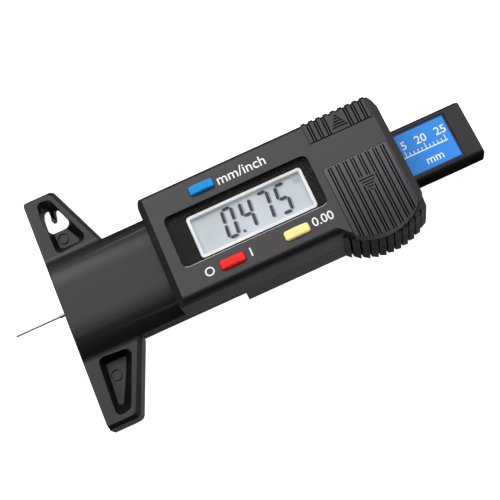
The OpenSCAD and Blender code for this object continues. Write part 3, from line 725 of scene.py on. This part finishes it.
digit_bars = []
for place, digit in enumerate("0475"):
    for kind in SEGMENTS[digit]:
        digit_bars.append(segment_outline(kind, FIRST_DIGIT + place * DIGIT_PITCH, 0))
point_x = FIRST_DIGIT + DIGIT_PITCH / 2 - 0.25
digit_bars.append([(point_x, POINT_LOW), (point_x + 0.5, POINT_LOW),
                   (point_x + 0.56, POINT_HIGH), (point_x + 0.06, POINT_HIGH)])
slabs("lcd_digits", digit_bars, LCD_Z + 0.03, LCD_Z + 0.05, "gauge_body", "lcd_ink")
# Painted shadow: a paler copy of each digit, shifted, stands for the shadow that it throws.
digit_shadow_bars = [[(x + DIGIT_SHADOW_SHIFT[0], y + DIGIT_SHADOW_SHIFT[1]) for x, y in bar] for bar in digit_bars]
slabs("lcd_digit_shadows", digit_shadow_bars, LCD_Z + 0.005, LCD_Z + 0.02, "gauge_body", "lcd_faint_mark_and_shadow")
lettering("lcd_unit", [("in", 61.0, 2.0, 2.2)], LCD_Z + 0.03, "gauge_body", "lcd_faint_mark_and_shadow", 0.012)

# ---- Printed marks -------------------------------------------------------------------------------

INK = 0.002  # clearance between a surface and the ink on it
MARKS = [("mm/inch", 45.2, 8.4, 3.5), ("O", 34.4, -10.6, 3.0), ("I", 45.4, -10.4, 3.0),
         ("0.00", 60.7, -10.2, 3.0)]
lettering("key_marks", MARKS, FACE_Z + INK, "gauge_body", "white_ink")

label_low, label_high = in_mm("beam_label")
label_mid, label_size = middle_and_size(label_low, label_high)
LABEL_Z = label_high.z
refined("beam_label", "label_sheet", "label", 0.03)
# Painted shadow: a dark blue band around the label, where it lies in its recess.
ring("label_shadow_border", round_rect(*label_mid, label_size[0] - 0.02, label_size[1] - 0.02, 0.2),
     round_rect(*label_mid, label_size[0] - 0.9, label_size[1] - 0.9, 0.2),
     LABEL_Z + INK, LABEL_Z + 0.012, "slider", "label_edge_shade")

# Depth scale in millimetres on the label: the housing's rear edge points at the depth
SCALE_LENGTH = 25.4
LINE_LOW, LINE_HIGH = -0.75, -0.5  # Y of the line that the ticks stand on
TICK_HALF = 0.08
NUMBER_Y, NUMBER_SIZE = 1.4, 2.9
housing_rear = in_mm("front_housing")[1].x
rest_depth = -in_mm("probe_pin")[0].x
zero_x = housing_rear - rest_depth
line_end = zero_x + SCALE_LENGTH
scale_bars = [[(zero_x, LINE_LOW), (line_end, LINE_LOW), (line_end, LINE_HIGH), (zero_x, LINE_HIGH)]]
numbers = []
for depth in range(int(SCALE_LENGTH) + 1):
    top = LINE_HIGH + (1.5 if depth % 5 == 0 else 0.8)
    start, end = zero_x + depth - TICK_HALF, zero_x + depth + TICK_HALF
    scale_bars.append([(start, LINE_HIGH), (end, LINE_HIGH), (end, top), (start, top)])
    if depth % 5 == 0:
        half_width = 0.9 if depth < 10 else 1.7
        numbers.append((str(depth), zero_x + depth - half_width, NUMBER_Y, NUMBER_SIZE))
numbers.append(("mm", zero_x + 18.5, -4.3, NUMBER_SIZE))
slabs("scale_lines", scale_bars, LABEL_Z + INK, LABEL_Z + 0.014, "slider", "white_ink")
lettering("scale_numbers", numbers, LABEL_Z + INK, "slider", "white_ink", 0.012)

# ---- Inner pieces keep their CAD shape -----------------------------------------------------------

INNER = {
    "lcd_glass": "lcd", "contact_strips": "contact_rubber", "main_board": "circuit_board",
    "chip_cover": "epoxy", "crystal": "cell_steel", "capacitors": "ceramic_chip",
    "tact_switches": "steel", "coin_cell": "cell_steel", "battery_contact_pos": "bronze",
    "battery_contact_neg": "bronze", "board_screws": "steel", "friction_spring": "bronze",
    "scale_board": "circuit_board", "probe_holder": "bronze", "probe_lock_screw": "dark_steel",
}
for node, look in INNER.items():
    mesh = frame["nodes"][node].data
    mesh.materials.clear()
    mesh.materials.append(LOOKS[look])

# ---- Floor and light -----------------------------------------------------------------------------

scene = bpy.context.scene
scene.view_settings.view_transform = "Standard"
FLOOR = 8.0  # half the floor's width in metres
KEY_FROM = (-0.5, 1.0, 0.85)  # direction of the key light, seen from the gauge
KEY_DISTANCE, KEY_SIZE, KEY_POWER = 0.9, 0.35, 1.2
TABLE_LIGHT = 0.26  # the dim table that steep walls mirror
END_LIGHT = 0.7  # a low glow beyond both ends
SIDE_LIGHT = 1.0  # a fill beyond both ends, on the -Y side
centre = (cad_box[0] + cad_box[1]) / 2
floor_z = cad_box[0][2] - 0.0001


def pale_floor():
    """A plain floor just under the gauge. Shiny sides mirror the dim surround and not this bright floor."""
    mesh = bpy.data.meshes.new("floor")
    corners = [(sx * FLOOR, sy * FLOOR, floor_z) for sx, sy in ((-1, -1), (1, -1), (1, 1), (-1, 1))]
    mesh.from_pydata(corners, [], [(0, 1, 2, 3)])
    floor = bpy.data.objects.new("floor", mesh)
    scene.collection.objects.link(floor)
    look = Look("floor", grey(235), 0.8, Emission_Color=(1, 1, 1, 1), Emission_Strength=0.95)
    look.bumps(look.noise(3), 0.02, 0.05)
    mesh.materials.append(look.material)
    floor.visible_glossy = False


def softbox(name, direction, distance, size, power):
    """A square light that faces the object from that direction."""
    data = bpy.data.lights.new(name, "AREA")
    data.shape = "RECTANGLE"
    data.size = size
    data.size_y = size
    data.energy = power
    light = bpy.data.objects.new(name, data)
    toward = Vector(direction).normalized()
    light.location = centre + toward * distance
    light.rotation_euler = toward.to_track_quat("Z", "Y").to_euler()
    scene.collection.objects.link(light)


def studio_surround():
    """A broad soft light overhead, brighter towards +Y and dark low on the -Y side, over a dim table."""
    world = bpy.data.worlds.new("studio")
    scene.world = world
    world.use_nodes = True
    nodes, links = world.node_tree.nodes, world.node_tree.links
    nodes["Background"].inputs["Color"].default_value = (1, 1, 1, 1)
    place = nodes.new("ShaderNodeTexCoord")
    parts = nodes.new("ShaderNodeSeparateXYZ")
    links.new(place.outputs["Generated"], parts.inputs["Vector"])

    def step(axis, low, high, at_low, at_high):
        """A soft step from at_low to at_high between two values of the direction along an axis."""
        node = nodes.new("ShaderNodeMapRange")
        node.interpolation_type = "SMOOTHSTEP"
        links.new(parts.outputs[axis], node.inputs["Value"])
        for key, value in (("From Min", low), ("From Max", high), ("To Min", at_low), ("To Max", at_high)):
            node.inputs[key].default_value = value
        return node.outputs["Result"]

    def joined(operation, *levels):
        result = levels[0]
        for level in levels[1:]:
            node = nodes.new("ShaderNodeMath")
            node.operation = operation
            links.new(result, node.inputs[0])
            links.new(level, node.inputs[1])
            result = node.outputs[0]
        return result

    sky = joined("MULTIPLY", step("Y", -0.5, 0.15, 0, 1), step("Y", 0.1, 0.5, 1.45, 2.45),
                 step("Y", 0.62, 0.95, 1, 0.2), step("Z", -0.05, 0.15, 0, 1),
                 step("X", -1.0, -0.4, 0.17, 1), step("X", 0.35, 1.0, 1, 0.6))
    table = joined("MULTIPLY", step("Z", -0.5, -0.93, 0, TABLE_LIGHT), step("X", -0.35, 0.35, 0.6, 1.6))
    ends = joined("ADD", step("X", -0.7, -0.4, 1, 0), step("X", 0.4, 0.7, 0, 1))
    low_glow = joined("MULTIPLY", ends, step("Z", -0.15, -0.05, END_LIGHT, 0), step("Z", -0.7, -0.5, 0, 1))
    side_fill = joined("MULTIPLY", ends, step("Y", -0.3, 0.1, SIDE_LIGHT, 0), step("Z", -0.05, 0.1, 0, 1))
    light = joined("ADD", joined("ADD", sky, table), joined("ADD", low_glow, side_fill))
    links.new(light, nodes["Background"].inputs["Strength"])


pale_floor()
softbox("key", KEY_FROM, KEY_DISTANCE, KEY_SIZE, KEY_POWER)
studio_surround()

# ---- Camera --------------------------------------------------------------------------------------

TILT = math.radians(19.0)  # it looks down on the display from the -Y side
ROLL = math.radians(24.45)  # and is rolled to the left
EYE = Vector((45.7, -88.26, 243.53)) * MM
LENS, SENSOR = 79.2, 36

look_dir = Vector((0, math.sin(TILT), -math.cos(TILT)))
up = Vector((0, math.cos(TILT), math.sin(TILT)))
right = Vector((1, 0, 0))
axis_x = math.cos(ROLL) * right - math.sin(ROLL) * up
axis_y = math.sin(ROLL) * right + math.cos(ROLL) * up
camera_data = bpy.data.cameras.new("camera")
camera_data.lens = LENS
camera_data.sensor_width = SENSOR
camera_data.clip_start = 0.01
camera = bpy.data.objects.new("camera", camera_data)
camera.matrix_world = Matrix.Translation(EYE) @ Matrix((axis_x, axis_y, -look_dir)).transposed().to_4x4()
scene.collection.objects.link(camera)
scene.camera = camera
